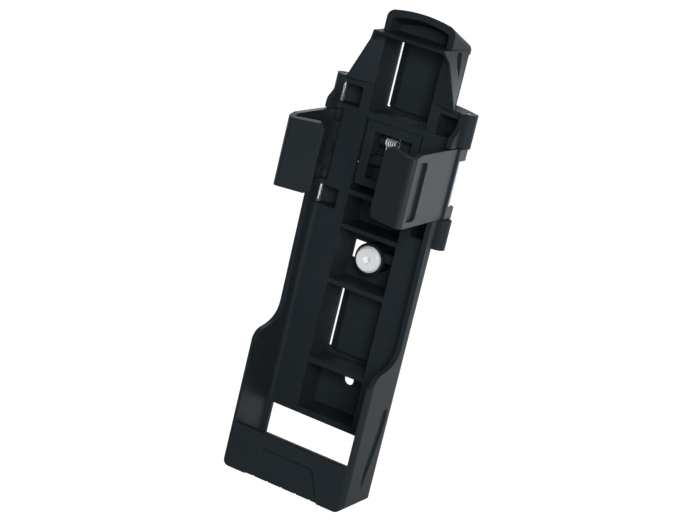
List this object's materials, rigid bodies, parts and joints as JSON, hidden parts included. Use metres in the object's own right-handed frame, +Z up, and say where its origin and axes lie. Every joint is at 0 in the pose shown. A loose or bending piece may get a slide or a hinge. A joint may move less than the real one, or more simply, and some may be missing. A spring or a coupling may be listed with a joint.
{
  "type": "bike lock bracket",
  "caption": "Open moulded tray with a foot pocket, spring-loaded clamp wings and a gripped neck that holds a folding lock on a bicycle frame.",
  "frame": {"origin": "centre of the lower screw hole on the rear seat", "axes": "+Z runs up the tray to the grip, -Y is the open front, +Y points to the bicycle tube"},
  "size_m": [0.0754, 0.073, 0.2324],
  "materials": {
    "tray_plastic": "satin black moulded plastic with a fine texture",
    "wing_plastic": "satin black moulded plastic",
    "pin_steel": "ground steel",
    "spring_steel": "bright spring wire",
    "screw_steel": "bright stainless",
    "washer_plastic": "black nylon"
  },
  "bodies": {
    "tray": {"tray_body": "tray_plastic", "left_hinge_pin": "pin_steel", "right_hinge_pin": "pin_steel", "spring_cover": "tray_plastic", "spring_axle": "pin_steel", "torsion_spring": "spring_steel", "mount_screw": "screw_steel", "screw_washer": "washer_plastic", "screw_adapter": "washer_plastic"},
    "left_wing": {"left_wing": "wing_plastic"},
    "right_wing": {"right_wing": "wing_plastic"}
  },
  "joints": [
    {"name": "left_wing_hinge", "type": "hinge", "parent": "tray", "child": "left_wing", "pos_m": [-0.0333, -0.01435, 0.113], "axis": [0, 0, -1], "range_deg": [0, 20], "stiffness_Nm_per_rad": 0.12, "springref_deg": -34.38, "deforming": ["torsion_spring"]},
    {"name": "right_wing_hinge", "type": "hinge", "parent": "tray", "child": "right_wing", "pos_m": [0.0333, -0.01435, 0.113], "axis": [0, 0, 1], "range_deg": [0, 20], "stiffness_Nm_per_rad": 0.12, "springref_deg": -34.38, "deforming": ["torsion_spring"]}
  ]
}
